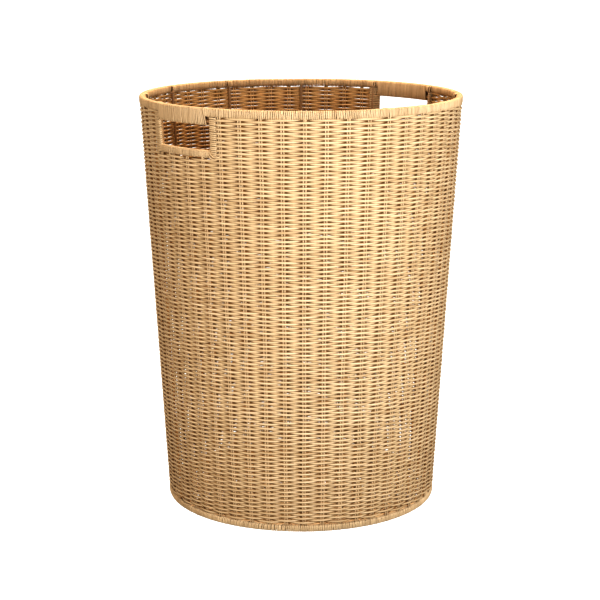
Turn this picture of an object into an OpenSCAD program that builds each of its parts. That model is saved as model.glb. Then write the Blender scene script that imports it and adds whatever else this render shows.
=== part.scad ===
// Round woven laundry basket: a welded wire frame, a woven wall and floor, and lashed edges.
// Units are millimetres, +Z is up, the origin is the centre of the foot, hand holes face -X and +X.

/* [Basket] */
// Overall height
height = 500; // [440:5:560]
// Outer diameter at the mouth
mouth_dia = 391; // [380:1:420]
// Outer diameter at the foot
foot_dia = 333.6; // [320:0.2:350]

/* [Wire frame] */
// Diameter of the upright rods and the floor spokes
rod_dia = 3.2; // [2.6:0.1:3.4]
// Diameter of the hoops and of the hand-hole bars
hoop_dia = 4; // [3.2:0.1:4]
// Outer diameter of the small ring that joins the floor spokes
hub_ring_dia = 60; // [50:1:80]

/* [Weave] */
// Thickness of one pass of the woven strand
strand = 2.2; // [1.8:0.1:2.2]
// Width of one pair of upright stakes
stake_pair_w = 4.7; // [4:0.1:5]
// Gap between the two strands of a pair
stake_gap = 1.1; // [0.4:0.1:1.4]
// Thickness of the upright stakes
stake_t = 1.6; // [1.2:0.1:1.6]
// Thickness of the lashing strand that covers the frame
lashing = 1.9; // [1.6:0.1:2]

/* [Rim and foot] */
// Height of the lashed rim
rim_h = 10; // [9.5:0.1:12]
// Height of the lashed foot
foot_h = 8.5; // [8.2:0.1:10]
// Radius that rounds the edges of the lashed bands
band_round = 1.8; // [1:0.1:1.8]

/* [Hand holes] */
// Height of the grip band over each hand hole
grip_h = 19.5; // [18:0.5:24]
// Height of each hand hole
hole_h = 28.9; // [26:0.1:34]
// Height of the lashed sill under each hand hole
sill_h = 8.6; // [8:0.1:10]
// Angle from a hand hole's centre line to its front edge
hole_front_angle = 13; // [12:0.1:13.3]
// Angle from a hand hole's centre line to its back edge
hole_back_angle = 12.7; // [11:0.1:13.3]
// Angle from a hand hole's centre line to the far side of a side post
post_angle = 17.6; // [17.6:0.1:18]

/* [Floor] */
// Thickness of the woven floor
floor_t = 6; // [5.6:0.1:6.4]
// Height of the underside of the floor above the ground
floor_lift = 1.25; // [0.8:0.05:1.3]

/* [Hidden] */
// Frame rods, and the bays between them.
bays = 12;
bay_angle = 360 / bays;
first_rod_angle = bay_angle / 2;
// Stakes of the wall: an odd number, so that one strand can be woven round and round.
stakes = 49;
stake_angle = 360 / stakes;
first_stake_angle = 5.8;
// Stakes of the floor: three between each two spokes.
floor_steps = 48;
floor_step_angle = 360 / floor_steps;
steps_per_bay = floor_steps / bays;
// Radii and the slope of the wall.
foot_r = foot_dia / 2;
mouth_r = mouth_dia / 2;
wall_tilt = atan((mouth_r - foot_r) / height);
// Layers of the wall, as distances inwards from its outer face.
wall_t = 2 * strand + stake_t;
stake_inset = strand + stake_t / 2;
fit_gap = 0.05;
rod_inset = wall_t + fit_gap + rod_dia / 2;
band_t = 2 * lashing + hoop_dia + 0.1;
hoop_inset = band_t / 2;
post_inset = rod_inset + rod_dia / 2 + lashing;
// Heights of the layers.
rim_z = height - rim_h;
grip_z = height - grip_h;
sill_top_z = grip_z - hole_h;
sill_z = sill_top_z - sill_h;
rim_hoop_z = height - lashing - hoop_dia / 2 - 0.2;
foot_hoop_z = foot_h / 2;
grip_bar_z = grip_z + lashing + hoop_dia / 2 + 0.2;
sill_bar_z = sill_z + sill_h / 2;
rod_bottom_z = foot_hoop_z - rod_dia / 2;
rod_top_z = rim_hoop_z + hoop_dia / 2 - 0.5;
stake_bottom_z = foot_hoop_z + hoop_dia / 2 + 0.3;
stake_top_z = rim_hoop_z - hoop_dia / 2 - 0.3;
// Floor.
floor_z = floor_lift + floor_t / 2;
floor_r = foot_r - band_t - fit_gap;
spoke_r = foot_r + foot_hoop_z * tan(wall_tilt) - hoop_inset - hoop_dia / 2 - fit_gap;
hub_r = hub_ring_dia / 2 - rod_dia / 2;
floor_stake_short_r = 90;
floor_stake_long_r = 36;
// Angles of the frame bars around the hand holes.
bar_half_angle = first_rod_angle + 0.4;
// How far a cutting shape reaches past the face that it cuts.
over = 1;
$fn = 96;

sides = ["left", "right"];
side_turn = [180, 0];
post_names = ["right_back", "left_back", "left_front", "right_front"];
rod_nodes = [for (i = [1:bays]) str("frame_rod_", i)];
stake_nodes = [for (i = [1:bays]) str("bay_stakes_", i)];
spoke_nodes = [for (i = [1:bays]) str("floor_spoke_", i)];
grip_bar_nodes = [for (s = sides) str("grip_bar_", s)];
sill_bar_nodes = [for (s = sides) str("sill_bar_", s)];
grip_wrap_nodes = [for (s = sides) str("grip_wrap_", s)];
sill_wrap_nodes = [for (s = sides) str("sill_wrap_", s)];
post_wrap_nodes = [for (p = post_names) str("post_wrap_", p)];

// Outer radius of the wall at height z.
function outer_r(z) = foot_r + (mouth_r - foot_r) * z / height;

// Angle between a direction and the nearest hand hole's centre line.
function from_handle(a) = abs(((a + 90) % 180) - 90);

// Colours of the finishes.
module steel_colour() { color([0.71, 0.52, 0.29]) children(); }
module strand_colour() { color([0.85, 0.63, 0.34]) children(); }
module stake_colour() { color([0.78, 0.56, 0.29]) children(); }
module lashing_colour() { color([0.88, 0.68, 0.40]) children(); }

// A bar of round wire that leans with the wall.
module leaning_rod(angle, inset, dia, z0, z1) {
    rotate([0, 0, angle])
        translate([outer_r(z0) - inset, 0, z0])
            rotate([0, wall_tilt, 0])
                cylinder(h = (z1 - z0) / cos(wall_tilt), d = dia);
}

// A rectangular strip that leans with the wall: w around the basket, t through the wall.
module leaning_strip(angle, inset, w, t, z0, z1) {
    rotate([0, 0, angle])
        translate([outer_r(z0) - inset, 0, z0])
            rotate([0, wall_tilt, 0])
                translate([-t / 2, -w / 2, 0])
                    cube([t, w, (z1 - z0) / cos(wall_tilt)]);
}

// A hoop, or a part of one, of round wire.
module wire_arc(r, z, dia, from, sweep) {
    rotate_extrude(angle = sweep, start = from)
        translate([r, z])
            circle(d = dia);
}

// A sleeve that follows the wall, or a sector of one, between two heights and two insets.
module wall_sector(z0, z1, inset0, inset1, from, sweep) {
    rotate_extrude(angle = sweep, start = from)
        polygon([
            [outer_r(z0) - inset1, z0],
            [outer_r(z0) - inset0, z0],
            [outer_r(z1) - inset0, z1],
            [outer_r(z1) - inset1, z1]
        ]);
}

// A lashed band, or a sector of one: a rectangle with chamfered edges carried round the basket.
module band_sector(z0, z1, from, sweep) {
    outer0 = outer_r(z0);
    outer1 = outer_r(z1);
    c = band_round;
    rotate_extrude(angle = sweep, start = from)
        polygon([
            [outer0 - band_t + c, z0],
            [outer0 - c, z0],
            [outer0, z0 + c],
            [outer1, z1 - c],
            [outer1 - c, z1],
            [outer1 - band_t + c, z1],
            [outer1 - band_t, z1 - c],
            [outer0 - band_t, z0 + c]
        ]);
}

// The room that a rod takes inside a lashing.
module rod_channel(angle, z0, z1) {
    leaning_strip(angle, rod_inset, rod_dia + fit_gap, rod_dia + fit_gap, z0, z1);
}

// The groove that the stake tips stand in, inside a lashed band.
module stake_groove(z0, z1) {
    wall_sector(z0, z1, stake_inset - stake_t / 2 - fit_gap, stake_inset + stake_t / 2 + fit_gap, 0, 360);
}

// The lashing round the end of a rod, where it is tied against a band.
module rod_tie(angle, z0, z1) {
    leaning_rod(angle, rod_inset, rod_dia + 2 * lashing, z0, z1);
}

// Hoop inside the rim.
module rim_hoop() {
    steel_colour() wire_arc(outer_r(rim_hoop_z) - hoop_inset, rim_hoop_z, hoop_dia, 0, 360);
}

// Hoop inside the foot.
module foot_hoop() {
    steel_colour() wire_arc(outer_r(foot_hoop_z) - hoop_inset, foot_hoop_z, hoop_dia, 0, 360);
}

// Small ring in the middle of the floor, which the spokes are welded to.
module hub_ring() {
    steel_colour() wire_arc(hub_r, floor_z, rod_dia, 0, 360);
}

// One upright rod on the inside of the wall.
module frame_rod(i) {
    steel_colour()
        leaning_rod(first_rod_angle + (i - 1) * bay_angle, rod_inset, rod_dia, rod_bottom_z, rod_top_z);
}

// One spoke of the floor, from the small ring to the foot hoop.
module floor_spoke(i) {
    from_r = hub_r + rod_dia / 2 + fit_gap;
    steel_colour()
        rotate([0, 0, (i - 1) * bay_angle])
            translate([from_r, 0, floor_z])
                rotate([0, 90, 0])
                    cylinder(h = spoke_r - from_r, d = rod_dia);
}

// Angle of a stake.
function at_stake(k) = first_stake_angle + k * stake_angle;

// Number of the bay that an angle lies in, from 1.
function bay_of(angle) = 1 + floor(((angle - first_rod_angle + 360) % 360) / bay_angle);

// A stake within a hand hole's bay is short and ends under the sill. The others reach into the rim.
function is_tall(angle) = from_handle(angle) > first_rod_angle;

// The stake pairs of one bay, each pair two flat strands side by side.
module bay_stakes(i) {
    strand_w = (stake_pair_w - stake_gap) / 2;
    stake_colour()
        for (k = [0:stakes - 1])
            if (bay_of(at_stake(k)) == i)
                rotate([0, 0, at_stake(k)])
                    for (side = [-1, 1])
                        translate([0, side * (strand_w + stake_gap) / 2, 0])
                            leaning_strip(0, stake_inset, strand_w, stake_t, stake_bottom_z,
                                is_tall(at_stake(k)) ? stake_top_z : sill_z - fit_gap);
}

// The slots that the stake pairs stand in, from one angle off the hand holes' centre line to another.
module stake_slots(z0, z1, near = 0, far = 90) {
    for (k = [0:stakes - 1])
        if (from_handle(at_stake(k)) > near && from_handle(at_stake(k)) < far)
            leaning_strip(at_stake(k), stake_inset, stake_pair_w + fit_gap, stake_t + fit_gap, z0, z1);
}

// Second bar of the grip, under the rim hoop.
module grip_bar(turn) {
    steel_colour()
        rotate([0, 0, turn])
            wire_arc(outer_r(grip_bar_z) - hoop_inset, grip_bar_z, hoop_dia, -bar_half_angle, 2 * bar_half_angle);
}

// Bar under the hand hole.
module sill_bar(turn) {
    steel_colour()
        rotate([0, 0, turn])
            wire_arc(outer_r(sill_bar_z) - hoop_inset, sill_bar_z, hoop_dia, -bar_half_angle, 2 * bar_half_angle);
}

// Woven wall from the foot to the underside of the sills.
module wall_weave() {
    strand_colour()
        difference() {
            wall_sector(foot_h, sill_z, 0, wall_t, 0, 360);
            stake_slots(foot_h - over, sill_z + over);
        }
}

// Woven wall between the hand holes, from the height of the sills to the rim.
module upper_weave(turn) {
    strand_colour()
        difference() {
            rotate([0, 0, turn])
                wall_sector(sill_z, rim_z, 0, wall_t, post_angle, 180 - 2 * post_angle);
            stake_slots(sill_z - over, rim_z + over, post_angle);
        }
}

// Woven floor, with channels for the spokes, the small ring, the stakes and the rod ends.
module floor_weave() {
    channel = rod_dia + fit_gap;
    strand_colour()
        difference() {
            translate([0, 0, floor_lift])
                cylinder(h = floor_t, r = floor_r);
            for (k = [0:bays - 1])
                rotate([0, 0, k * bay_angle])
                    translate([hub_r, -channel / 2, floor_z - channel / 2])
                        cube([foot_r, channel, channel]);
            rotate_extrude()
                translate([hub_r - channel / 2, floor_z - channel / 2])
                    square([channel, channel]);
            for (k = [0:floor_steps - 1])
                if (k % steps_per_bay != 0)
                    floor_stake(k, fit_gap);
            for (k = [0:bays - 1])
                rod_channel(first_rod_angle + k * bay_angle, rod_bottom_z - over, floor_lift + floor_t + over);
        }
}

// One stake pair of the floor, at its place round the circle, grown by a gap for its channel.
module floor_stake(k, gap) {
    mid_bay = k % steps_per_bay == steps_per_bay / 2;
    from_r = (mid_bay ? floor_stake_long_r : floor_stake_short_r) - gap;
    to_r = floor_r - rod_dia - 1 + gap;
    rotate([0, 0, k * floor_step_angle])
        translate([from_r, -stake_pair_w / 2 - gap, floor_z - stake_t / 2 - gap])
            cube([to_r - from_r, stake_pair_w + 2 * gap, stake_t + 2 * gap]);
}

// All the stake pairs inside the floor.
module floor_stakes() {
    stake_colour()
        for (k = [0:floor_steps - 1])
            if (k % steps_per_bay != 0)
                floor_stake(k, 0);
}

// Lashed rim between the hand holes.
module rim_wrap(turn) {
    lashing_colour()
        difference() {
            rotate([0, 0, turn])
                union() {
                    band_sector(rim_z, height, post_angle, 180 - 2 * post_angle);
                    for (k = [1:bays / 2 - 2])
                        rod_tie(first_rod_angle + k * bay_angle, rim_z, height - band_round);
                }
            wire_arc(outer_r(rim_hoop_z) - hoop_inset, rim_hoop_z, hoop_dia + fit_gap, 0, 360);
            stake_groove(rim_z - over, stake_top_z + fit_gap);
            for (k = [0:bays - 1])
                rod_channel(first_rod_angle + k * bay_angle, rim_z - over, rod_top_z + fit_gap);
        }
}

// Lashed foot, the ring that the basket stands on.
module foot_wrap() {
    lashing_colour()
        difference() {
            band_sector(0, foot_h, 0, 360);
            wire_arc(outer_r(foot_hoop_z) - hoop_inset, foot_hoop_z, hoop_dia + fit_gap, 0, 360);
            stake_groove(stake_bottom_z - fit_gap, foot_h + over);
            for (k = [0:bays - 1])
                rod_channel(first_rod_angle + k * bay_angle, rod_bottom_z - fit_gap, foot_h + over);
            for (k = [0:bays - 1])
                rotate([0, 0, k * bay_angle])
                    translate([floor_r - over, -(rod_dia + fit_gap) / 2, floor_z - (rod_dia + fit_gap) / 2])
                        cube([spoke_r - floor_r + 2 * over, rod_dia + fit_gap, rod_dia + fit_gap]);
        }
}

// Grip over a hand hole: one lashing round the rim hoop and the grip bar.
module grip_wrap(turn) {
    lashing_colour()
        difference() {
            rotate([0, 0, turn])
                union() {
                    band_sector(grip_z, height, -post_angle, 2 * post_angle);
                    for (side = [-1, 1])
                        rod_tie(side * first_rod_angle, grip_z, height - band_round);
                }
            wire_arc(outer_r(rim_hoop_z) - hoop_inset, rim_hoop_z, hoop_dia + fit_gap, 0, 360);
            rotate([0, 0, turn])
                wire_arc(outer_r(grip_bar_z) - hoop_inset, grip_bar_z, hoop_dia + fit_gap,
                    -bar_half_angle, 2 * bar_half_angle);
            for (k = [0:bays - 1])
                rod_channel(first_rod_angle + k * bay_angle, grip_z - over, rod_top_z + fit_gap);
            stake_slots(grip_z - over, stake_top_z + fit_gap, first_rod_angle, post_angle);
        }
}

// Sill under a hand hole: the lashing round the sill bar.
module sill_wrap(turn) {
    lashing_colour()
        difference() {
            rotate([0, 0, turn])
                union() {
                    band_sector(sill_z, sill_top_z, -post_angle, 2 * post_angle);
                    for (side = [-1, 1])
                        rod_tie(side * first_rod_angle, sill_z, sill_top_z);
                }
            rotate([0, 0, turn])
                wire_arc(outer_r(sill_bar_z) - hoop_inset, sill_bar_z, hoop_dia + fit_gap,
                    -bar_half_angle, 2 * bar_half_angle);
            for (k = [0:bays - 1])
                rod_channel(first_rod_angle + k * bay_angle, sill_z - over, sill_top_z + over);
            stake_slots(sill_z - over, sill_top_z + over, first_rod_angle, post_angle);
        }
}

// Side post of a hand hole: the weaving turned back round a frame rod and the stake beside it.
module post_wrap(q) {
    at_back = q < 2;
    at_right = q == 0 || q == 3;
    near = at_back ? hole_back_angle : hole_front_angle;
    sweep = post_angle - near;
    from = at_right ? (at_back ? near : -post_angle) : (at_back ? 180 - post_angle : 180 + near);
    lashing_colour()
        difference() {
            wall_sector(sill_top_z, grip_z, 0, post_inset, from, sweep);
            for (k = [0:bays - 1])
                rod_channel(first_rod_angle + k * bay_angle, sill_top_z - over, grip_z + over);
            stake_slots(sill_top_z - over, grip_z + over, first_rod_angle, post_angle);
        }
}

rim_hoop();
foot_hoop();
hub_ring();
for (i = [1:bays]) {
    frame_rod(i);
    floor_spoke(i);
    bay_stakes(i);
}
for (s = [0:1]) {
    grip_bar(side_turn[s]);
    sill_bar(side_turn[s]);
    grip_wrap(side_turn[s]);
    sill_wrap(side_turn[s]);
}
wall_weave();
upper_weave(180);  // front_weave
upper_weave(0);  // back_weave
floor_weave();
floor_stakes();
rim_wrap(180);  // rim_wrap_front
rim_wrap(0);  // rim_wrap_back
foot_wrap();
for (q = [0:3])
    post_wrap(q);
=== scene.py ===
"""Round woven laundry basket: strands woven and lashed over a wire frame, in metres, +Z up."""
import math

import bpy
import numpy as np
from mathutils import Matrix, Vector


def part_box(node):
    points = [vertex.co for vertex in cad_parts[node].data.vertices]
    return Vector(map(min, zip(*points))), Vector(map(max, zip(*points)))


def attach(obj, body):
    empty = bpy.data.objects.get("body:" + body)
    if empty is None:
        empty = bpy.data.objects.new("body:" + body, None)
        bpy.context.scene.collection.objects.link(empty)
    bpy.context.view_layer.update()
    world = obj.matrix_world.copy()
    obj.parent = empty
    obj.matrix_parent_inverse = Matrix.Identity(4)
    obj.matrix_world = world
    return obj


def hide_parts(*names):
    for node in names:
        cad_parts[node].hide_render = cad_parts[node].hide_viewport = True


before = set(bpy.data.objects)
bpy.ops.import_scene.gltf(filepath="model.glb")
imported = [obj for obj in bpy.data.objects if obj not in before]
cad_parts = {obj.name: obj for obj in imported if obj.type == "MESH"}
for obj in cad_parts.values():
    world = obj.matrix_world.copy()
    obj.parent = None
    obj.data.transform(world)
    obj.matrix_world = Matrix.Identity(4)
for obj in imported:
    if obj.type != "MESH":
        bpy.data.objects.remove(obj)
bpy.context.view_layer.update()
rng = np.random.default_rng(49)

MM = 0.001
TURN = 360.0


# ---------------------------------------------------------------- the basket's measures

def box_mm(node):
    """Lowest and highest corner of a node, in millimetres."""
    low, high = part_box(node)
    return np.array(low) / MM, np.array(high) / MM


foot_low, foot_high = box_mm("foot_wrap")
rim_low, rim_high = box_mm("rim_wrap_front")
grip_low, grip_high = box_mm("grip_wrap_left")
sill_low, sill_high = box_mm("sill_wrap_left")
floor_low, floor_high = box_mm("floor_weave")
stakes_low, stakes_high = box_mm("bay_stakes_3")

# Heights and radii of the frame's solids.
FOOT_TOP = foot_high[2]
RIM_BOTTOM = rim_low[2]
RIM_TOP = rim_high[2]
GRIP_BOTTOM = grip_low[2]
SILL_TOP = sill_high[2]
SILL_BOTTOM = sill_low[2]
MOUTH_RADIUS = -rim_low[1]
FOOT_RADIUS = foot_high[0]
FLOOR_MIDDLE = (floor_low[2] + floor_high[2]) / 2
FLOOR_RADIUS = floor_high[0]

# Places round the basket, in degrees. A hand hole's edges and posts are measured from its middle.
LEFT = 180.0
RIGHT = 0.0
STAKES = 49
STAKE_STEP = TURN / STAKES
FIRST_STAKE = 5.8
RODS = 12
ROD_STEP = TURN / RODS
FIRST_ROD = ROD_STEP / 2
HOLE_FRONT = 13.0
HOLE_BACK = 12.7
POST_SIDE = 15.4

# The weaving strand: its thickness through the wall, its mean height, how much taller it is over a stake and
# between two, how far it swings out and in, the random share of that, and the points of its mesh.
STRAND = 2.0
STRAND_TALL = 2.6
TALL_OVER_STAKE = 0.5
TALL_BETWEEN = 0.2
WEAVE_SWING = 2.0
SWING_SPREAD = 0.05
POINTS_PER_STAKE = 6
WEFT_SIDES = 8

# Courses: the height of the first over the foot, the gaps between the loose ones and between the tight ones,
# their random shifts, and the height over which their waves calm down at the foot and the rim.
FIRST_COURSE = 1.4
LOOSE_COURSES = 3
LOOSE_GAP = 2.8
TIGHT_GAPS = (2.52, 2.44)
TIGHT_HEIGHTS = (300.0, 420.0)
COURSE_JITTER = 0.13
LOOSE_JITTER = 0.4
CALM = 12.0

# The slow waves of the courses: size, waves in a round, height that shifts them by a radian, and start.
COURSE_WAVES = ((0.45, 3.0, 41.0, 0.0), (0.35, 7.0, -23.0, 1.3), (0.25, 13.0, 13.0, 4.0))

# Stakes: the inset of the wall's middle, how far out of it the pair stands, and for its two strands half the
# distance between them and half the section of each.
STAKE_INSET = 3.0
STAKE_PROUD = 1.05
STAKE_APART = 1.45
STAKE_DEEP = 0.8
STAKE_WIDE = 0.92
STAKE_SIDES = 8

# Lashings: the strand, and the depth and the rounding of the bands.
LASHING = 1.9
BAND_DEEP = 7.9
BAND_ROUND = 1.5

# Painted shade in the crevices: how strong it is behind a stake and at a strand's edges, how much more is
# painted towards the foot, and the height below which that grows.
BEHIND_PAINTED_SHADE = 1.9
EDGE_PAINTED_SHADE = 0.35
FOOT_PAINTED_SHADE = 0.42
FOOT_PAINTED_SHADE_BELOW = 170.0


def outer(z):
    """Outer radius of the wall: a straight line from the top of the foot to the rim."""
    share = (z - FOOT_TOP) / (RIM_TOP - FOOT_TOP)
    return FOOT_RADIUS + (MOUTH_RADIUS - FOOT_RADIUS) * share


def at(angle, radius, z):
    """Points from an angle in degrees, a radius and a height."""
    a = np.radians(angle)
    return np.stack(np.broadcast_arrays(radius * np.cos(a), radius * np.sin(a), z), axis=-1)


def outwards(angle):
    """Unit vectors that point away from the axis."""
    a = np.radians(angle)
    return np.stack([np.cos(a), np.sin(a), np.zeros_like(a)], axis=-1)


def around(angle):
    """Unit vectors that point along the wall, towards a growing angle."""
    a = np.radians(angle)
    return np.stack([-np.sin(a), np.cos(a), np.zeros_like(a)], axis=-1)


def upwards(path):
    """A unit vector up for every point of a path."""
    return np.broadcast_to(np.array([0.0, 0.0, 1.0]), path.shape)


def smooth_noise(x, knots, seed, size=1.0):
    """Random values at whole numbers of x, joined by half waves of a cosine."""
    values = np.random.default_rng(seed).normal(0.0, size, knots + 2)
    low = np.clip(np.floor(x).astype(int), 0, knots)
    part = 0.5 - 0.5 * np.cos(np.pi * np.clip(x - low, 0.0, 1.0))
    return values[low] * (1.0 - part) + values[low + 1] * part


# ---------------------------------------------------------------- strands as meshes

def sweep(path, across, half_across, half_other, sides):
    """Ellipses carried along paths. With t along the path, d is the unit vector of across less its part
    along t, and w = t x d. A point is path + w * half_other * cos(a) + d * half_across * sin(a), a from 0 to
    a full turn. Paths have the shape (strands, points, 3). Gives the rings and the run along each strand."""
    tangent = np.gradient(path, axis=1)
    tangent /= np.linalg.norm(tangent, axis=-1, keepdims=True)
    d = across - (across * tangent).sum(-1, keepdims=True) * tangent
    d /= np.linalg.norm(d, axis=-1, keepdims=True)
    w = np.cross(tangent, d)
    a = np.arange(sides) * (2.0 * np.pi / sides)
    half_across = np.broadcast_to(half_across, path.shape[:2])[..., None, None]
    half_other = np.broadcast_to(half_other, path.shape[:2])[..., None, None]
    rings = (path[..., None, :]
             + w[..., None, :] * np.cos(a)[:, None] * half_other
             + d[..., None, :] * np.sin(a)[:, None] * half_across)
    step = np.linalg.norm(np.diff(path, axis=1), axis=-1)
    run = np.concatenate([np.zeros((len(path), 1)), np.cumsum(step, axis=1)], axis=1)
    return rings, run


def facing(sides):
    """Sine and cosine of the angle round a strand: sin is the part along across, cos the part along w."""
    a = np.arange(sides) * (2.0 * np.pi / sides)
    return np.sin(a), np.cos(a)


def round_exposure(sides):
    """How open each point of a straight strand is: 1 on its faces and less at its edges, which get painted
    shade.
    """
    return 1.4 * np.abs(facing(sides)[0]) - 0.4


def wound_exposure(sides):
    """How open each point of a wound strand is: less the cosine, so 1 outside and -1 against the band, where
    the painted shade is darkest.
    """
    return -facing(sides)[1]


def woven_exposure(sides, steps):
    """How open each point of a woven strand is, which sets its painted shade. With o = cos(pi * steps), a
    face turned to the side that the strand is on is open, and one turned to the stake it passes gets painted
    shade by o squared. The edges lie in a crevice and get painted shade too."""
    across, _ = facing(sides)
    behind = np.maximum(-np.cos(np.pi * steps)[:, None] * np.sign(across), 0.0)
    return np.abs(across) * (1.0 - BEHIND_PAINTED_SHADE * behind ** 2) - EDGE_PAINTED_SHADE * (1.0 - np.abs(across))


def cap_corners(sides):
    """Quads that close a ring with an even number of points: (k, k + 1, sides - 2 - k, sides - 1 - k)."""
    half = sides // 2
    return np.array([[k, k + 1, sides - 2 - k, sides - 1 - k] for k in range(half - 1)])


def strand_mesh(name, swept):
    """One mesh from rings: quads (j, i), (j + 1, i), (j + 1, i + 1), (j, i + 1), with both ends closed. The
    UV map holds the run along the strand in metres and the share round it. The attribute tone is one value
    a strand, and open runs from -1 in the crevices to 1 on the exposed side; it masks the painted shade."""
    points, quads, maps, tones, opens = [], [], [], [], []
    first = 0
    for rings, run, tone, exposed in swept:
        strands, length, sides = rings.shape[:3]
        index = first + np.arange(strands * length * sides).reshape(strands, length, sides)
        beside = np.roll(index, -1, axis=2)
        body = np.stack([index[:, :-1], index[:, 1:], beside[:, 1:], beside[:, :-1]], axis=-1)
        u = np.broadcast_to(run[..., None] * MM, index.shape)
        v = np.broadcast_to(np.arange(sides) / sides, index.shape)
        v_next = v + 1.0 / sides
        body_map = np.stack([
            np.stack([u[:, :-1], v[:, :-1]], -1), np.stack([u[:, 1:], v[:, 1:]], -1),
            np.stack([u[:, 1:], v_next[:, 1:]], -1), np.stack([u[:, :-1], v_next[:, :-1]], -1)], axis=-2)
        cap = cap_corners(sides)
        start = index[:, 0][:, cap].reshape(-1, 4)
        end = index[:, -1][:, cap[:, ::-1]].reshape(-1, 4)
        start_map = np.stack([u[:, 0][:, cap], v[:, 0][:, cap]], -1).reshape(-1, 4, 2)
        end_map = np.stack([u[:, -1][:, cap[:, ::-1]], v[:, -1][:, cap[:, ::-1]]], -1).reshape(-1, 4, 2)
        points.append(rings.reshape(-1, 3))
        quads += [body.reshape(-1, 4), start, end]
        maps += [body_map.reshape(-1, 4, 2), start_map, end_map]
        tones.append(np.broadcast_to(np.reshape(tone, (-1, 1)), (strands, length * sides)).reshape(-1))
        opens.append(np.broadcast_to(exposed, (strands, length, sides)).reshape(-1))
        first += strands * length * sides
    points = np.concatenate(points) * MM
    quads = np.concatenate(quads)
    maps = np.concatenate(maps)
    mesh = bpy.data.meshes.new(name)
    mesh.vertices.add(len(points))
    mesh.vertices.foreach_set("co", points.astype(np.float32).ravel())
    mesh.loops.add(quads.size)
    mesh.loops.foreach_set("vertex_index", quads.astype(np.int32).ravel())
    mesh.polygons.add(len(quads))
    mesh.polygons.foreach_set("loop_start", np.arange(0, quads.size, 4, dtype=np.int32))
    mesh.polygons.foreach_set("use_smooth", np.ones(len(quads), dtype=bool))
    layer = mesh.uv_layers.new(name="strand")
    layer.data.foreach_set("uv", maps.astype(np.float32).ravel())
    tone_layer = mesh.attributes.new("tone", "FLOAT", "POINT")
    tone_layer.data.foreach_set("value", np.concatenate(tones).astype(np.float32))
    open_layer = mesh.attributes.new("open", "FLOAT", "POINT")
    open_layer.data.foreach_set("value", np.concatenate(opens).astype(np.float32))
    mesh.update(calc_edges=True)
    mesh.validate()
    return mesh


def add_piece(name, swept, material, nodes):
    """A piece of strands that rides on the basket and stands for some nodes."""
    mesh = strand_mesh(name, swept)
    mesh.materials.append(material)
    piece = bpy.data.objects.new(name, mesh)
    bpy.context.scene.collection.objects.link(piece)
    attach(piece, "root")
    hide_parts(*nodes)


# ---------------------------------------------------------------- materials

def new_material(name):
    """A material with only its shader and its output."""
    material = bpy.data.materials.new(name)
    material.use_nodes = True
    tree = material.node_tree
    shader = tree.nodes["Principled BSDF"]
    return material, tree, shader


def link(tree, source, target):
    """Joins an output to an input."""
    tree.links.new(source, target)


def node(tree, kind, **values):
    """A node with its properties and the defaults of its inputs set."""
    made = tree.nodes.new(kind)
    for key, value in values.items():
        if hasattr(made, key):
            setattr(made, key, value)
        else:
            made.inputs[key.replace("_", " ")].default_value = value
    return made


def ramp(tree, source, stops):
    """A colour ramp over a value."""
    made = tree.nodes.new("ShaderNodeValToRGB")
    elements = made.color_ramp.elements
    while len(elements) < len(stops):
        elements.new(0.5)
    for element, (place, colour) in zip(elements, stops):
        element.position = place
        element.color = (*colour, 1.0)
    link(tree, source, made.inputs["Fac"])
    return made.outputs["Color"]


# Painted shade in the crevices, and painted warm bounce light on the faces turned to the axis, on the weave
# and on the lashings.
CREVICE_PAINTED_SHADE = (0.38, 0.25, 0.11)
WEAVE_PAINTED_BOUNCE_LIGHT = (1.13, 0.94, 0.67)
LASHING_PAINTED_BOUNCE_LIGHT = (1.0, 0.93, 0.84)


def multiplied(tree, colour, factor, tint):
    """A colour multiplied by a tint where the factor is 1."""
    mix = node(tree, "ShaderNodeMix", data_type="RGBA", blend_type="MULTIPLY")
    link(tree, factor, mix.inputs[0])
    link(tree, colour, mix.inputs[6])
    mix.inputs[7].default_value = (*tint, 1.0)
    return mix.outputs[2]


def smooth_step(tree, source, low, high, to_low=0.0, to_high=1.0):
    """A value carried smoothly from to_low at low to to_high at high."""
    made = node(tree, "ShaderNodeMapRange", interpolation_type="SMOOTHSTEP",
                From_Min=low, From_Max=high, To_Min=to_low, To_Max=to_high)
    link(tree, source, made.inputs["Value"])
    return made.outputs["Result"]


def facing_axis(tree):
    """1 on faces turned to the basket's axis and 0 on the rest, from the dot product of the normal with the
    direction away from the axis. It masks the painted warm bounce light inside the basket."""
    place = node(tree, "ShaderNodeTexCoord")
    geometry = node(tree, "ShaderNodeNewGeometry")
    flat = node(tree, "ShaderNodeVectorMath", operation="MULTIPLY")
    link(tree, place.outputs["Object"], flat.inputs[0])
    flat.inputs[1].default_value = (1.0, 1.0, 0.0)
    away = node(tree, "ShaderNodeVectorMath", operation="NORMALIZE")
    link(tree, flat.outputs["Vector"], away.inputs[0])
    dot = node(tree, "ShaderNodeVectorMath", operation="DOT_PRODUCT")
    link(tree, geometry.outputs["Normal"], dot.inputs[0])
    link(tree, away.outputs["Vector"], dot.inputs[1])
    return smooth_step(tree, dot.outputs["Value"], 0.1, -0.7)


# Noises along a strand: the scale along its run in metres, round it and from strand to strand, and detail.
STREAKS = ((28.0, 5.0, 1.0), 3.0)
DRIFT = ((9.0, 0.4, 1.0), 2.0)
RIBS = ((60.0, 16.0, 1.0), 2.0)
STREAK_SHARE = 0.55


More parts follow.
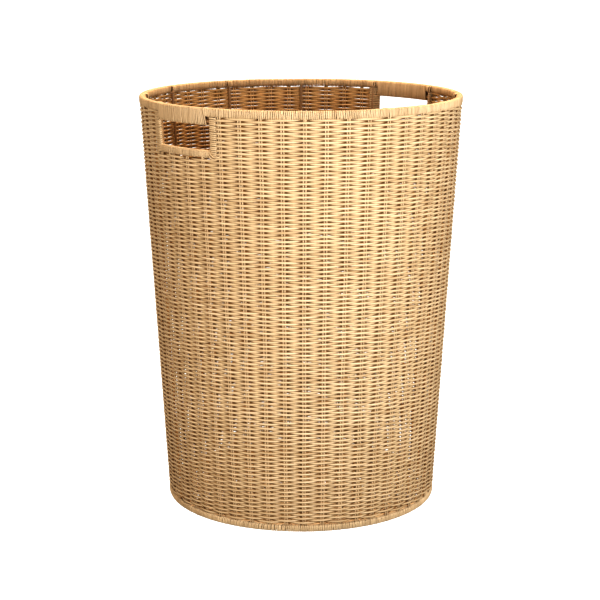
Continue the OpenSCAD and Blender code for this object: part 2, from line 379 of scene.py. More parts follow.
def strand_noise(tree, uv, offset, pattern):
    """Noise stretched along a strand, shifted by the strand's tone so that no two strands are alike."""
    scale, detail = pattern
    mapping = node(tree, "ShaderNodeMapping", Scale=scale)
    shifted = node(tree, "ShaderNodeVectorMath", operation="ADD")
    link(tree, uv.outputs["UV"], shifted.inputs[0])
    link(tree, offset.outputs["Vector"], shifted.inputs[1])
    link(tree, shifted.outputs["Vector"], mapping.inputs["Vector"])
    noise = node(tree, "ShaderNodeTexNoise", Scale=1.0, Detail=detail, Roughness=0.55)
    link(tree, mapping.outputs["Vector"], noise.inputs["Vector"])
    return noise.outputs["Fac"]


def strand_material(name, dark, middle, light, rough, inner=WEAVE_PAINTED_BOUNCE_LIGHT):
    """Satin plastic rattan: long streaks of colour along the strand, a slow drift of tone, painted shade in
    the crevices, painted warm bounce light on faces turned to the axis, fine ribs along it and a little
    roughness variation."""
    material, tree, shader = new_material(name)
    uv = node(tree, "ShaderNodeUVMap", uv_map="strand")
    tone = node(tree, "ShaderNodeAttribute", attribute_name="tone")
    offset = node(tree, "ShaderNodeCombineXYZ")
    link(tree, tone.outputs["Fac"], offset.inputs["Z"])
    streaks, drift, ribs = (strand_noise(tree, uv, offset, pattern) for pattern in (STREAKS, DRIFT, RIBS))
    part = node(tree, "ShaderNodeMath", operation="MULTIPLY")
    link(tree, drift, part.inputs[0])
    part.inputs[1].default_value = 1.0 - STREAK_SHARE
    mixed = node(tree, "ShaderNodeMath", operation="MULTIPLY_ADD")
    link(tree, streaks, mixed.inputs[0])
    mixed.inputs[1].default_value = STREAK_SHARE
    link(tree, part.outputs[0], mixed.inputs[2])
    colour = ramp(tree, mixed.outputs[0], [(0.34, dark), (0.50, middle), (0.65, light)])
    exposed = node(tree, "ShaderNodeAttribute", attribute_name="open")
    # Painted shade: the colour is darkened in the crevices, where the open attribute is low.
    painted_shade_mask = smooth_step(tree, exposed.outputs["Fac"], -0.55, 0.75, 1.0, 0.0)
    painted_shade_and_light = multiplied(tree, colour, painted_shade_mask, CREVICE_PAINTED_SHADE)
    # Painted light: a warm bounce-light tint on the faces turned to the basket's axis.
    painted_shade_and_light = multiplied(tree, painted_shade_and_light, facing_axis(tree), inner)
    link(tree, painted_shade_and_light, shader.inputs["Base Color"])
    roughness = node(tree, "ShaderNodeMapRange", To_Min=rough - 0.08, To_Max=rough + 0.10)
    link(tree, ribs, roughness.inputs["Value"])
    link(tree, roughness.outputs["Result"], shader.inputs["Roughness"])
    bump = node(tree, "ShaderNodeBump", Strength=0.35, Distance=0.0002)
    link(tree, ribs, bump.inputs["Height"])
    link(tree, bump.outputs["Normal"], shader.inputs["Normal"])
    shader.inputs["Specular IOR Level"].default_value = 0.42
    return material


def wire_material():
    """Satin powder coat on steel wire: a fine orange-peel bump and slight tone variation."""
    material, tree, shader = new_material("wire_powder_coat")
    place = node(tree, "ShaderNodeTexCoord")
    broad = node(tree, "ShaderNodeTexNoise", Scale=22.0, Detail=3.0)
    fine = node(tree, "ShaderNodeTexNoise", Scale=1400.0, Detail=1.0)
    link(tree, place.outputs["Object"], broad.inputs["Vector"])
    link(tree, place.outputs["Object"], fine.inputs["Vector"])
    colour = ramp(tree, broad.outputs["Fac"], [(0.3, (0.32, 0.19, 0.09)), (0.7, (0.41, 0.255, 0.125))])
    link(tree, colour, shader.inputs["Base Color"])
    bump = node(tree, "ShaderNodeBump", Strength=0.15, Distance=0.00015)
    link(tree, fine.outputs["Fac"], bump.inputs["Height"])
    link(tree, bump.outputs["Normal"], shader.inputs["Normal"])
    shader.inputs["Roughness"].default_value = 0.38
    return material


weave_finish = strand_material(
    "weave_strand", (0.54, 0.405, 0.24), (0.67, 0.54, 0.355), (0.77, 0.64, 0.45), 0.40)
lashing_finish = strand_material(
    "lashing_strand", (0.52, 0.39, 0.24), (0.64, 0.505, 0.33), (0.74, 0.60, 0.41), 0.42, LASHING_PAINTED_BOUNCE_LIGHT)
stake_finish = strand_material(
    "stake_strand", (0.60, 0.45, 0.28), (0.73, 0.585, 0.39), (0.81, 0.67, 0.47), 0.38)
wire_finish = wire_material()


# ---------------------------------------------------------------- courses of the wall

def course_heights():
    """Heights of the courses: the lowest are loose, and the rest close up a little towards the rim. They are
    stretched so that the last one is tight against the rim."""
    heights = [FOOT_TOP + FIRST_COURSE]
    past_rim = 4.0
    while heights[-1] < RIM_BOTTOM + past_rim:
        tight = np.interp(heights[-1], TIGHT_HEIGHTS, TIGHT_GAPS)
        heights.append(heights[-1] + (LOOSE_GAP if len(heights) < LOOSE_COURSES else tight))
    heights = np.array(heights)
    under_rim, turned_under = 0.9, 0.45
    last = np.searchsorted(heights, RIM_BOTTOM - 1.0) - 1
    top = np.interp(last + turned_under, np.arange(len(heights)), heights)
    stretch = (RIM_BOTTOM - under_rim - heights[0]) / (top - heights[0])
    return heights[0] + (heights - heights[0]) * stretch


COURSES = course_heights()
COURSE_COUNT = len(COURSES)

# A course may reach this far into a sill or the rim. Below the sills the courses run all the way round.
TUCKED = 0.6
FULL_ROUNDS = int(np.searchsorted(COURSES, SILL_BOTTOM + TUCKED)) - 1


def weft(steps):
    """The path of the weaving strand. steps counts stakes passed since the first: the angle grows by one
    stake step for each, the height by one course for each round, and the strand swings outwards and inwards
    as the cosine of half a turn for each stake. Small smooth shifts make it hand-made. The crevices get more
    painted shade towards the foot."""
    angle = FIRST_STAKE + steps * STAKE_STEP
    z = np.interp(steps / STAKES, np.arange(COURSE_COUNT), COURSES)
    stakes_passed = COURSE_COUNT * STAKES
    wave = sum(size * np.sin(np.radians(angle) * waves + z / shift + start)
               for size, waves, shift, start in COURSE_WAVES)
    jitter = smooth_noise(steps, stakes_passed, 11, COURSE_JITTER)
    loose = np.clip(LOOSE_COURSES - steps / STAKES, 0.0, 1.0)
    jitter = jitter + LOOSE_JITTER * loose * smooth_noise(steps / 3.0, stakes_passed, 13)
    above_foot = np.clip((z - FOOT_TOP) / CALM, 0.0, 1.0)
    below_rim = np.clip((RIM_BOTTOM - z) / CALM, 0.0, 1.0)
    z = z + wave * above_foot * below_rim + jitter
    swing = WEAVE_SWING * (1.0 + smooth_noise(steps, stakes_passed, 12, SWING_SPREAD))
    radius = outer(z) - STAKE_INSET + swing * np.cos(np.pi * steps)
    tall = STRAND_TALL + TALL_OVER_STAKE * np.cos(np.pi * steps) + TALL_BETWEEN * np.sin(np.pi * steps) ** 2
    # Painted shade: the crevices are darkened more towards the foot.
    low = np.clip(1.0 - z / FOOT_PAINTED_SHADE_BELOW, 0.0, 1.0)[:, None]
    exposed = woven_exposure(WEFT_SIDES, steps) - FOOT_PAINTED_SHADE * low
    return angle, radius, z, tall / 2, exposed


def woven_strand(angle, radius, z, half_tall):
    """Rings and run of one woven strand: an ellipse STRAND thick and 2 * half_tall high."""
    return sweep(at(angle, radius, z)[None], outwards(angle)[None], STRAND / 2, half_tall[None], WEFT_SIDES)


def wall_courses():
    """Full rounds of the wall in one long spiral, cut into pieces of whole rounds."""
    pieces = 5
    round_length, spiral_tone = 1100.0, 0.37
    edges = np.linspace(0, FULL_ROUNDS, pieces + 1).round().astype(int)
    for number, (low, high) in enumerate(zip(edges[:-1], edges[1:])):
        in_round = STAKES * POINTS_PER_STAKE
        steps = np.arange(low * in_round, high * in_round + 1) / POINTS_PER_STAKE
        angle, radius, z, half_tall, exposed = weft(steps)
        rings, run = woven_strand(angle, radius, z, half_tall)
        strand = (rings, run + low * round_length, spiral_tone, exposed)
        add_piece(f"wall_courses_{number + 1}", [strand], weave_finish, ["wall_weave"])


def panel_courses(name, from_angle, to_angle, replaced):
    """Courses of the wall between two posts, from the sills up to the rim. Their ends tuck in behind the
    posts."""
    tuck_span, tuck_inset = 1.2, 4.0
    swept = []
    rounds = range(FULL_ROUNDS, COURSE_COUNT)
    tones = rng.uniform(0.0, 50.0, len(rounds))
    for turn, tone in zip(rounds, tones):
        low = STAKES * turn + (from_angle - FIRST_STAKE) / STAKE_STEP
        high = STAKES * turn + (to_angle - FIRST_STAKE) / STAKE_STEP
        count = int((high - low) * POINTS_PER_STAKE) + 1
        steps = np.linspace(low, high, count)
        angle, radius, z, half_tall, exposed = weft(steps)
        if np.median(z) > RIM_BOTTOM + TUCKED:
            continue
        end = np.minimum(steps - low, high - steps) * STAKE_STEP
        tuck = np.clip(1.0 - end / tuck_span, 0.0, 1.0) ** 2
        radius = radius * (1.0 - tuck) + (outer(z) - tuck_inset) * tuck
        rings, run = woven_strand(angle, radius, z, half_tall)
        swept.append((rings, run, tone, exposed))
    add_piece(name, swept, weave_finish, [replaced])


# The panels' courses end inside the posts, at this angle from a hand hole's middle.
UNDER_POST = POST_SIDE - 0.8

wall_courses()
panel_courses("front_courses", LEFT + UNDER_POST, TURN - UNDER_POST, "front_weave")
panel_courses("back_courses", UNDER_POST, LEFT - UNDER_POST, "back_weave")


# ---------------------------------------------------------------- stakes

def from_handle(angle):
    """Angle to the nearest hand hole's centre line."""
    return np.abs(np.mod(angle + 90.0, 180.0) - 90.0)


def wall_stakes():
    """Upright pairs of round strands between the courses, one pair a stake, bent a little by the weave."""
    bottom, top = stakes_low[2], stakes_high[2]
    under_sill = SILL_BOTTOM - 0.05
    up = np.linspace(0.0, 1.0, 26)
    drift_size, own_size = 0.22, 0.10
    bays = {}
    for k in range(STAKES):
        angle = FIRST_STAKE + k * STAKE_STEP
        tall = from_handle(angle) > FIRST_ROD
        z = bottom + up * ((top if tall else under_sill) - bottom)
        angles = np.full_like(z, angle)
        radius = outer(z) - STAKE_INSET + STAKE_PROUD
        drift = smooth_noise(z / 45.0, 14, 200 + k, drift_size)
        bay = 1 + int(np.floor(np.mod(angle - FIRST_ROD, TURN) / ROD_STEP))
        for side in (-1.0, 1.0):
            own = smooth_noise(z / 18.0, 32, 400 + 2 * k + int(side > 0), own_size)
            shift = side * STAKE_APART + drift + own
            spot = at(angle, radius, z) + around(angles) * shift[:, None]
            bays.setdefault(bay, []).append((spot, angles, rng.uniform(0.0, 50.0)))
    for bay, strands in sorted(bays.items()):
        path, angles, tones = (np.array(part) for part in zip(*strands))
        rings, run = sweep(path, outwards(angles), STAKE_DEEP, STAKE_WIDE, STAKE_SIDES)
        stakes = (rings, run, tones, round_exposure(STAKE_SIDES))
        add_piece(f"stake_pairs_{bay}", [stakes], stake_finish, [f"bay_stakes_{bay}"])


wall_stakes()


# ---------------------------------------------------------------- lashed bands

# Points round a band for each turn, the strand's sides, half its width as a share of the distance from turn
# to turn, and the turns over which a band's end leans.
CORNERS = 12
LASHING_SIDES = 6
HALF_TURN = 0.475
FAN_TURNS = 9.0

# Random spread of the turns: along the band, of the lower end, of the slant, of its drift, and outwards.
TURN_WOBBLE = 0.12
TURN_DROOP = 0.22
TURN_SLANT = 0.32
SLANT_DRIFT = 0.45
TURN_PROUD = 0.13

# The lower outer end of a turn: the height that counts as its end, the limits of its droop, and how far a
# tail stands out.
TURN_END = 3.0
DROOP_LIMITS = (-0.35, 0.5)
TAIL_PROUD = 0.2

# The lashing round a rod's end bulges inwards: how far, and the angle that it takes up.
ROD_BULGE = 3.6
ROD_BULGE_ANGLE = 1.15


def band_section(bottom_out, bottom_in, top):
    """Twelve points round a band, three on each rounded corner, from the outer bottom corner up. Gives the
    insets from the wall's outer face and the heights of the strand's middle."""
    half = LASHING / 2
    corner = np.radians([0.0, 45.0, 90.0])
    r = BAND_ROUND
    out_x, in_x = half + r, BAND_DEEP - half - r
    insets, heights = [], []
    for centre_x, centre_z, start in (
            (out_x, bottom_out + half + r, -90.0), (out_x, top - half - r, 0.0),
            (in_x, top - half - r, 90.0), (in_x, bottom_in + half + r, 180.0)):
        a = corner + np.radians(start)
        insets.append(centre_x - r * np.cos(a))
        heights.append(centre_z + r * np.sin(a))
    return np.concatenate(insets), np.concatenate(heights)


def lashed_band(from_angle, to_angle, pitch, bottom_out, bottom_in, top, seed,
                tails=(), tie_angles=(), fan=(0.0, 0.0), closed=False, ragged=1.0):
    """A strand wound round a band: a helix whose section is a rounded rectangle. The lower outer end of a
    turn is lowered where it has a tail, the inner side is let out round the end of each rod, and the last
    turns at an end lean by the angle in fan."""
    middle = outer((bottom_out + top) / 2)
    span = to_angle - from_angle
    turns = max(2, int(round(np.radians(span) * middle / pitch)))
    insets, heights = band_section(bottom_out, bottom_in, top)
    j = np.arange(turns * CORNERS + 1)
    share = j / (turns * CORNERS)
    angle = from_angle + span * share
    inset = insets[j % CORNERS]
    z = heights[j % CORNERS].copy()
    own = np.random.default_rng(seed)
    wobble = own.normal(0.0, TURN_WOBBLE, turns + 2)
    droop = own.normal(0.0, TURN_DROOP, turns + 2) * ragged
    drift = smooth_noise(np.arange(turns + 2) / 5.0, turns // 5 + 2, seed + 7, SLANT_DRIFT)
    slant = own.normal(0.0, TURN_SLANT, turns + 2) + drift
    proud = own.normal(0.0, TURN_PROUD, turns + 2)
    number = np.minimum(j // CORNERS, turns - 1)
    if closed:
        number = number % turns
    outside = inset < BAND_DEEP / 2
    at_bottom = np.clip(1.0 - (z - heights.min()) / TURN_END, 0.0, 1.0) * outside
    z = z - at_bottom * np.clip(droop[number], *DROOP_LIMITS)
    for tail_angle, drop in tails:
        near = np.abs(from_angle + span * (number + 0.1) / turns - tail_angle)
        hit = near < span / turns / 2
        z = z - hit * at_bottom * drop
        inset = inset - hit * at_bottom * TAIL_PROUD
    inside = inset > BAND_DEEP / 2
    for rod in tie_angles:
        bulge = np.exp(-((angle - rod) / ROD_BULGE_ANGLE) ** 4) * ROD_BULGE
        inset = inset + np.where(inside, bulge, 0.0)
    lean = (fan[0] * np.clip(1.0 - share * turns / FAN_TURNS, 0.0, 1.0)
            + fan[1] * np.clip(1.0 - (1.0 - share) * turns / FAN_TURNS, 0.0, 1.0))
    down = np.clip((top - z) / (top - bottom_out), 0.0, 1.0)
    angle = angle + lean * down + np.degrees((wobble[number] + slant[number] * (down - 0.5)) / middle)
    inset = np.maximum(inset - proud[number] * (inset < BAND_DEEP / 2), LASHING / 2)
    path = at(angle, outer(np.clip(z, 0.0, RIM_TOP)) - inset, z)[None]
    rings, run = sweep(path, around(angle)[None], pitch * HALF_TURN, LASHING / 2, LASHING_SIDES)
    return rings, run, own.uniform(0.0, 50.0), wound_exposure(LASHING_SIDES)


def add_lashing(name, swept, replaced):
    """A piece of lashing strand that stands for one node."""
    add_piece(name, swept, lashing_finish, [replaced])


# Distance from turn to turn on each band.
RIM_PITCH = 2.08
GRIP_PITCH = 1.98
SILL_PITCH = 2.02
FOOT_PITCH = 2.2

# Angle from a hand hole's middle to the front end of its grip, and how far the last turns lean. At the back
# the rim and the grip overlap by an angle, and a sill runs on past the hole by another.
GRIP_ENDS = {"left": (10.9, 1.5), "right": (12.1, 0.7)}
GRIP_OVER_RIM = 0.4
SILL_PAST_HOLE = 0.6

# The rim's lower edges outside and inside, from the bottom of its solid.
RIM_EDGES = (-0.2, 2.0)

# Tails: where a sill has them, how far they hang, and how far from a rim's end they start.
SILL_TAILS = (-7.0, 9.3)
SILL_TAIL_DROP = 3.4
RIM_TAIL_DROP = 3.6
RIM_TAIL_MARGIN = 5.0


def stake_tails(low, high, seed):
    """Longer turns that tie down the tip of every second stake between two angles."""
    own = np.random.default_rng(seed)
    angles = FIRST_STAKE + STAKE_STEP * np.arange(0, STAKES, 2)
    return [(a, RIM_TAIL_DROP * own.uniform(0.7, 1.15)) for a in angles if low < a < high]


def rims():
    """Lashed rim over the two panels, from one grip to the other."""
    rods = FIRST_ROD + ROD_STEP * np.arange(RODS)
    front_left, front_right = LEFT + GRIP_ENDS["left"][0], TURN - GRIP_ENDS["right"][0]
    back_end = HOLE_BACK - GRIP_OVER_RIM
    bottom_out, bottom_in = RIM_BOTTOM + RIM_EDGES[0], RIM_BOTTOM + RIM_EDGES[1]
    for name, low, high, replaced, seed in (
            ("rim_lashing_front", front_left, front_right, "rim_wrap_front", 31),
            ("rim_lashing_back", back_end, LEFT - back_end, "rim_wrap_back", 32)):
        band = lashed_band(low, high, RIM_PITCH, bottom_out, bottom_in, RIM_TOP, seed,
                           tails=stake_tails(low + RIM_TAIL_MARGIN, high - RIM_TAIL_MARGIN, seed),
                           tie_angles=[r for r in rods if low < r < high])
        add_lashing(name, [band], replaced)


def grips_and_sills():
    """Lashed grips over the hand holes and lashed sills under them."""
    for name, middle, low_edge, high_edge in (
            ("left", LEFT, HOLE_BACK, HOLE_FRONT), ("right", RIGHT, HOLE_FRONT, HOLE_BACK)):
        low, high = middle - low_edge, middle + high_edge
        end, lean = GRIP_ENDS[name]
        if name == "left":
            grip_low, grip_high, fan = low, middle + end, (0.0, lean)
        else:
            grip_low, grip_high, fan = middle - end, high, (-lean, 0.0)
        grip = lashed_band(grip_low, grip_high, GRIP_PITCH, GRIP_BOTTOM, GRIP_BOTTOM, RIM_TOP,
                           41 + int(middle), fan=fan)
        add_lashing(f"grip_lashing_{name}", [grip], f"grip_wrap_{name}")
        tails = [(middle + a, SILL_TAIL_DROP) for a in SILL_TAILS]
        sill = lashed_band(low - SILL_PAST_HOLE, high + SILL_PAST_HOLE, SILL_PITCH, SILL_BOTTOM, SILL_BOTTOM,
                           SILL_TOP, 51 + int(middle), tails=tails)
        add_lashing(f"sill_lashing_{name}", [sill], f"sill_wrap_{name}")


def foot():
    """Lashed foot ring that the basket stands on."""
    ground = foot_low[2]
    band = lashed_band(0.0, TURN, FOOT_PITCH, ground, ground, FOOT_TOP, 61, closed=True, ragged=0.0)
    add_lashing("foot_lashing", [band], "foot_wrap")


# Posts: the inset at which their angles are measured, their depth at the rod and at the hole, how far they
# reach past the rod, the rounding of their corners, the distance from turn to turn, half the strand's height
# as a share of it, and the spread of the turns. They start above the sills' undersides, end inside the rim,
# and cover the edge of the hole by an angle.
POST_INSET = 4.0
POST_DEEP = 10.55
POST_NOSE = 4.3
PAST_ROD = 2.4
POST_ROUND = 1.1
POST_PITCH = 2.3
HALF_CLIMB = 0.49
CLIMB_WOBBLE = 0.10
OVER_SILL = 1.2
INTO_RIM = 0.6
INTO_HOLE = 0.3


def post(name, near, far, seed, replaced):
    """A side post: a strand wound round a frame rod and the edge of the weave, a helix that climbs. Its
    section is a rounded block between the angles near and far, thin at the hole and thick at the rod."""
    bottom, top = SILL_BOTTOM + OVER_SILL, RIM_BOTTOM + INTO_RIM
    turns = int(round((top - bottom) / POST_PITCH))
    j = np.arange(turns * CORNERS + 1)
    z = bottom + (top - bottom) * j / (turns * CORNERS)
    half = LASHING / 2
    width = np.radians(abs(far - near)) * outer(z)
    r = POST_ROUND
    corner = np.array([0.0, 45.0, 90.0])
    spots = []
    for far_side, outer_side, start in ((1, 1, 0.0), (0, 1, 90.0), (0, 0, 180.0), (1, 0, 270.0)):
        a = np.radians(corner + start)
        spots.append(np.stack([np.full(3, far_side), np.full(3, outer_side), np.cos(a), np.sin(a)], -1))
    far_side, outer_side, cosine, sine = np.concatenate(spots)[j % CORNERS].T
    along = half + r + (width - 2 * half - 2 * r) * far_side + r * cosine
    along = along + (1.0 - outer_side) * far_side * PAST_ROD
    deep = np.where(far_side > 0.5, POST_DEEP, POST_NOSE)
    inset = half + r + (deep - 2 * half - 2 * r) * (1.0 - outer_side) - r * sine
    own = np.random.default_rng(seed)
    wobble = own.normal(0.0, CLIMB_WOBBLE, turns + 1)[np.minimum(j // CORNERS, turns)]
    towards = 1.0 if far > near else -1.0
    angle = near + towards * np.degrees(along / (outer(z) - POST_INSET))
    path = at(angle, outer(z) - inset, z + wobble)
    if towards < 0:
        path = path[::-1]
    rings, run = sweep(path[None], upwards(path)[None], POST_PITCH * HALF_CLIMB, LASHING / 2, LASHING_SIDES)
    strand = (rings, run, own.uniform(0.0, 50.0), wound_exposure(LASHING_SIDES))
    add_lashing(name, [strand], replaced)


def corner_swirls():
    """Two loose ends that curl from the foot of each front post over the weave: curves P = (1 - t)^2 * A +
    2 * t * (1 - t) * B + t^2 * C over the angle from the hole's centre line and the height. In the middle
    they stand proud of the wall, and their ends tuck in by the fourth power of the way to the end."""
    t = np.linspace(0.0, 1.0, 20)[:, None]
    curves = [((12.3, SILL_TOP + 0.5), (14.4, SILL_BOTTOM - 2.0), (16.9, SILL_BOTTOM + 3.6)),
              ((11.9, SILL_TOP - 3.0), (13.8, SILL_BOTTOM - 3.4), (16.2, SILL_BOTTOM + 0.6))]
    lift = -0.5 + 3.4 * np.abs(2.0 * t[:, 0] - 1.0) ** 4
    for name, middle, towards in (("left", LEFT, 1.0), ("right", TURN, -1.0)):
        swept = []
        for number, (a, b, c) in enumerate(curves):
            spot = (1 - t) ** 2 * np.array(a) + 2 * t * (1 - t) * np.array(b) + t ** 2 * np.array(c)
            angle = middle + towards * spot[:, 0]
            path = at(angle, outer(spot[:, 1]) - lift, spot[:, 1])
            rings, run = sweep(path[None], outwards(angle)[None], LASHING / 2, LASHING / 2, 8)
            swept.append((rings, run, 60.0 + number, round_exposure(8)))
        add_lashing(f"corner_swirl_{name}", swept, f"sill_wrap_{name}")


rims()
grips_and_sills()
corner_swirls()
foot()
post("post_lashing_right_back", HOLE_BACK - INTO_HOLE, POST_SIDE, 71, "post_wrap_right_back")
post("post_lashing_left_back", LEFT - HOLE_BACK + INTO_HOLE, LEFT - POST_SIDE, 72, "post_wrap_left_back")
post("post_lashing_left_front", LEFT + HOLE_FRONT - INTO_HOLE, LEFT + POST_SIDE, 73, "post_wrap_left_front")
post("post_lashing_right_front", TURN - HOLE_FRONT + INTO_HOLE, TURN - POST_SIDE, 74, "post_wrap_right_front")


# ---------------------------------------------------------------- woven floor

# Spokes and stakes that the outer rounds pass, and those that the inner rounds pass.
FLOOR_STEPS = 48
INNER_ELEMENTS = 24

# The floor's strands: half their height, half their width as a share of the distance between two, that
# distance, how far they swing and their random shift.
FLOOR_STRAND_HALF = 1.0
FLOOR_STRAND_WIDE = 0.49
FLOOR_PITCH = 2.36
ROUND_STEP = 2.0 * FLOOR_PITCH
SPOKE_SWING = 2.45
FLOOR_JITTER = 0.12
FLOOR_SIDES = 6

# Where the rounds start outside the small ring, how many elements the inner ones pass, and where they change.
FIRST_FLOOR_ROUND = 32.5
INNER_PASSED = 284
CHANGE_RADIUS = FIRST_FLOOR_ROUND + ROUND_STEP * INNER_PASSED / INNER_ELEMENTS
FLOOR_EDGE = FLOOR_RADIUS - 0.9
OUTER_ROUNDS = (FLOOR_EDGE - CHANGE_RADIUS) / ROUND_STEP + 0.6

# The coil inside the small ring: its radii, the distance from turn to turn and half its strand's width.
COIL_FROM = 1.6
COIL_TO = 25.4
COIL_PITCH = 2.3
COIL_HALF = 1.12


def floor_round(inner, edge, rounds, elements, start, points):
    """Two strands that spiral outwards side by side and then follow the edge, one over every even spoke or
    stake and one over every odd one: height = middle +/- swing * cos(pi * elements passed)."""
    steps = np.arange(int(rounds * elements * points + 0.5) + 1) / points
    angle = (start + steps) * TURN / elements
    swept = []
    for strand, side in ((0, 1.0), (1, -1.0)):
        radius = np.minimum(inner + FLOOR_PITCH * strand + ROUND_STEP * steps / elements, edge)
        radius = radius + smooth_noise(steps, int(rounds * elements) + 2, 81 + strand, FLOOR_JITTER)
        z = FLOOR_MIDDLE + side * SPOKE_SWING * np.cos(np.pi * steps)
        path = at(angle, radius, z)[None]
        half_wide = FLOOR_PITCH * FLOOR_STRAND_WIDE
        rings, run = sweep(path, upwards(path), FLOOR_STRAND_HALF, half_wide, FLOOR_SIDES)
        swept.append((rings, run, 5.0 + strand, woven_exposure(FLOOR_SIDES, steps + strand)))
    return swept


def floor_rosette():
    """Two flat coils, one over the other, that close the middle of the floor inside the small ring."""
    rounds = (COIL_TO - COIL_FROM) / COIL_PITCH
    share = np.linspace(0.0, 1.0, int(rounds * 40) + 1)
    angle = share * rounds * TURN
    radius = COIL_FROM + (COIL_TO - COIL_FROM) * share
    swept = []
    for z in (FLOOR_MIDDLE - FLOOR_STRAND_HALF, FLOOR_MIDDLE + FLOOR_STRAND_HALF):
        path = at(angle, radius, np.full_like(radius, z))[None]
        rings, run = sweep(path, upwards(path), FLOOR_STRAND_HALF, COIL_HALF, FLOOR_SIDES)
        swept.append((rings, run, 9.0, np.abs(facing(FLOOR_SIDES)[0])))
    return swept


def floor_stake_pairs():
    """Radial pairs of strands between the spokes, long ones in mid bay and short ones beside the spokes. They
    open out from the small ring until they are as far apart as the wall's stakes."""
    long_from, short_from, end = 31.5, 88.0, FLOOR_RADIUS - 4.0
    meet, opening = 24.0, 0.16
    paths = []
    per_bay = FLOOR_STEPS // RODS
    for k in range(FLOOR_STEPS):
        if k % per_bay == 0:
            continue
        start = long_from if k % per_bay == per_bay // 2 else short_from
        angle = k * TURN / FLOOR_STEPS
        radius = np.linspace(start, end, 24)
        beside = around(np.full_like(radius, angle))
        spread = np.minimum(STAKE_APART, (radius - meet) * opening)[:, None]
        for side in (-1.0, 1.0):
            paths.append(at(angle, radius, FLOOR_MIDDLE) + beside * side * spread)
    path = np.stack(paths)
    rings, run = sweep(path, upwards(path), STAKE_DEEP, STAKE_WIDE, FLOOR_SIDES)
    tones = rng.uniform(0.0, 50.0, len(paths))
    stakes = (rings, run, tones, round_exposure(FLOOR_SIDES))
    add_piece("floor_stake_pairs", [stakes], stake_finish, ["floor_stakes"])


inner_rounds = floor_round(FIRST_FLOOR_ROUND, CHANGE_RADIUS + FLOOR_PITCH, INNER_PASSED / INNER_ELEMENTS,
                           INNER_ELEMENTS, 0, 8)
outer_start = INNER_PASSED * FLOOR_STEPS // INNER_ELEMENTS % FLOOR_STEPS
outer_rounds = floor_round(CHANGE_RADIUS, FLOOR_EDGE, OUTER_ROUNDS, FLOOR_STEPS, outer_start, 6)
inner_floor = inner_rounds + floor_rosette()
add_piece("floor_courses_inner", inner_floor, weave_finish, ["floor_weave"])
add_piece("floor_courses_outer", outer_rounds, weave_finish, ["floor_weave"])
floor_stake_pairs()


# ---------------------------------------------------------------- wire frame

wire_nodes = (["rim_hoop", "foot_hoop", "hub_ring", "grip_bar_left", "grip_bar_right", "sill_bar_left",
               "sill_bar_right"]
              + [f"frame_rod_{i}" for i in range(1, RODS + 1)]
              + [f"floor_spoke_{i}" for i in range(1, RODS + 1)])
for name in wire_nodes:
    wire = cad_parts[name]
    if not wire.material_slots:
        wire.data.materials.append(wire_finish)
    for spot in wire.material_slots:
        spot.material = wire_finish


# ---------------------------------------------------------------- floor, lights and camera

def ground():
    """A pale floor under the basket."""
    mesh = bpy.data.meshes.new("ground")
    size = 12.0
    corners = [(-size, -size, 0), (size, -size, 0), (size, size, 0), (-size, size, 0)]
    mesh.from_pydata(corners, [], [(0, 1, 2, 3)])
    material, tree, shader = new_material("ground_paper")
    shader.inputs["Base Color"].default_value = (0.1, 0.1, 0.1, 1.0)
    shader.inputs["Roughness"].default_value = 0.9
    shader.inputs["Specular IOR Level"].default_value = 0.1
    shader.inputs["Emission Color"].default_value = (1.0, 1.0, 1.0, 1.0)
    shader.inputs["Emission Strength"].default_value = 1.35
    mesh.materials.append(material)
    plane = bpy.data.objects.new("ground", mesh)
    bpy.context.scene.collection.objects.link(plane)
    plane.visible_diffuse = False
    plane.visible_glossy = False


def area_light(name, azimuth, height, distance, wide, tall, power, aim, colour=(1.0, 1.0, 1.0)):
    """A soft light, wide by tall in metres, aimed at a height on the axis. The azimuth is a polar angle in
    degrees, and the distance is from the axis."""
    data = bpy.data.lights.new(name, "AREA")
    data.shape = "RECTANGLE"
    data.size = wide
    data.size_y = tall
    data.energy = power
    data.color = colour
    lamp = bpy.data.objects.new(name, data)
    lamp.visible_camera = False
    bpy.context.scene.collection.objects.link(lamp)
    a = math.radians(azimuth)
    place = np.array([distance * math.cos(a), distance * math.sin(a), height])
    way = np.array([0.0, 0.0, aim]) - place
    flat = math.hypot(way[0], way[1])
    lamp.location = place
    lamp.rotation_euler = (math.atan2(flat, -way[2]), 0.0, math.atan2(way[1], way[0]) - math.pi / 2)


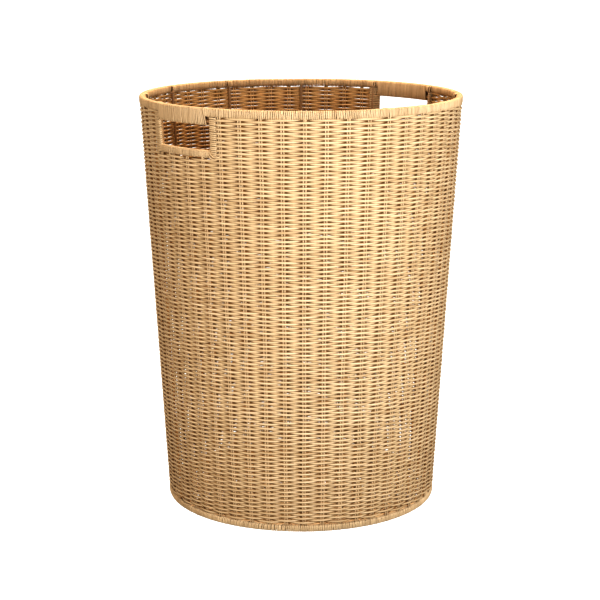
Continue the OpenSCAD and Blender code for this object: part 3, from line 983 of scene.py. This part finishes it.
def sky():
    """White surroundings for what is seen past the basket, and a dimmer even light on it."""
    world = bpy.data.worlds.new("studio")
    bpy.context.scene.world = world
    world.use_nodes = True
    tree = world.node_tree
    tree.nodes.clear()
    seen = node(tree, "ShaderNodeBackground")
    seen.inputs["Color"].default_value = (1.0, 1.0, 1.0, 1.0)
    seen.inputs["Strength"].default_value = 1.05
    lit = node(tree, "ShaderNodeBackground")
    lit.inputs["Color"].default_value = (1.0, 0.86, 0.70, 1.0)
    lit.inputs["Strength"].default_value = 0.50
    path = node(tree, "ShaderNodeLightPath")
    mix = node(tree, "ShaderNodeMixShader")
    output = node(tree, "ShaderNodeOutputWorld")
    link(tree, path.outputs["Is Camera Ray"], mix.inputs["Fac"])
    link(tree, lit.outputs["Background"], mix.inputs[1])
    link(tree, seen.outputs["Background"], mix.inputs[2])
    link(tree, mix.outputs["Shader"], output.inputs["Surface"])


# The camera's direction, as a polar angle, its distance from the axis, its height, dip, lens and shift, and
# the colour of the lights other than the key.
VIEW = 225.0
REACH = 2.0165
EYE_HEIGHT = 0.7039
DIP = 12.87
LENS = 99.73
SHIFT = -1.0 / 600.0
WARM = (1.0, 0.80, 0.60)

ground()
sky()
area_light("key", VIEW + 20.0, height=0.52, distance=1.15, wide=0.5, tall=0.28, power=13.2, aim=0.48)
area_light("fill", VIEW - 60.0, height=0.47, distance=1.7, wide=0.6, tall=0.34, power=10.0, aim=0.46,
           colour=WARM)
area_light("side", VIEW + 85.0, height=0.47, distance=1.7, wide=0.6, tall=0.34, power=4.0, aim=0.46,
           colour=WARM)
area_light("back", VIEW + 180.0, height=0.42, distance=1.5, wide=0.6, tall=0.3, power=8.0, aim=0.40,
           colour=WARM)
area_light("over", VIEW + 180.0, height=1.9, distance=0.25, wide=1.2, tall=1.2, power=42.0, aim=0.40,
           colour=WARM)

camera_data = bpy.data.cameras.new("camera")
camera_data.lens = LENS
camera_data.sensor_width = 36.0
camera_data.shift_x = SHIFT
camera = bpy.data.objects.new("camera", camera_data)
bpy.context.scene.collection.objects.link(camera)
view = math.radians(VIEW)
camera.location = (REACH * math.cos(view), REACH * math.sin(view), EYE_HEIGHT)
camera.rotation_euler = (math.radians(90.0 - DIP), 0.0, math.radians(VIEW - 270.0))
bpy.context.scene.camera = camera

# A steeper curve than the standard view, for the deep tones between the strands.
bpy.context.scene.view_settings.view_transform = "Standard"
bpy.context.scene.view_settings.look = "None"
bpy.context.scene.view_settings.gamma = 0.7
